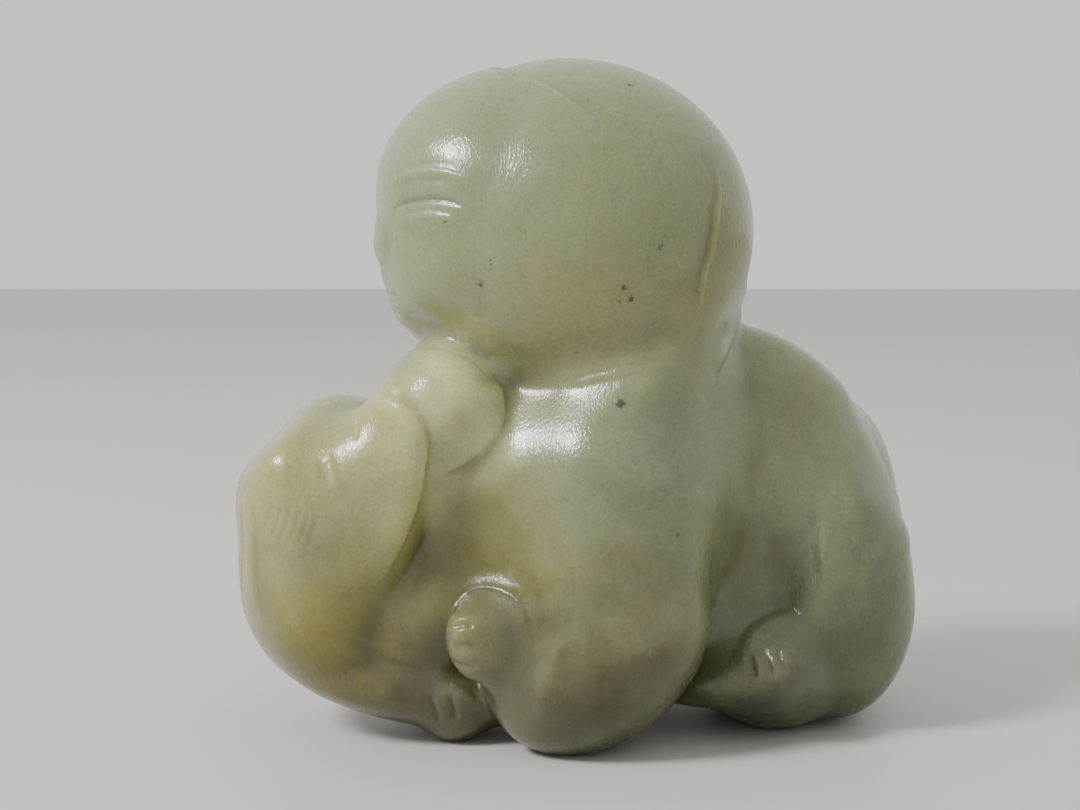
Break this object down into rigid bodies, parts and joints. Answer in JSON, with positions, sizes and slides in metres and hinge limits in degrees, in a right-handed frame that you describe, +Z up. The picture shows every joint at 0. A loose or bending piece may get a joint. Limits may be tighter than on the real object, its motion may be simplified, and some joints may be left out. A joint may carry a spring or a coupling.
{
  "type": "jade figurine",
  "caption": "Small polished jade carving of a crouching round-headed child hugging a folded lotus leaf, made to stand on a shelf or be held in the hand.",
  "frame": {"origin": "middle of the whole figurine's box, on the plane it rests on", "axes": "+Z up, the child faces -X, -Y is the child's left side"},
  "size_m": [0.0506, 0.0278, 0.0491],
  "materials": {
    "jade": "polished, waxy and slightly translucent"
  },
  "bodies": {
    "root": {"near_hand": "jade", "far_hand": "jade", "lotus_bud": "jade", "leaf_fold": "jade", "face": "jade", "crown": "jade", "near_arm": "jade", "far_arm": "jade", "lotus_leaf": "jade", "lotus_stem": "jade", "near_haunch": "jade", "far_haunch": "jade", "near_foot": "jade", "far_foot": "jade", "collar": "jade", "torso": "jade", "belly": "jade", "rump": "jade", "back_fold": "jade"}
  },
  "joints": []
}
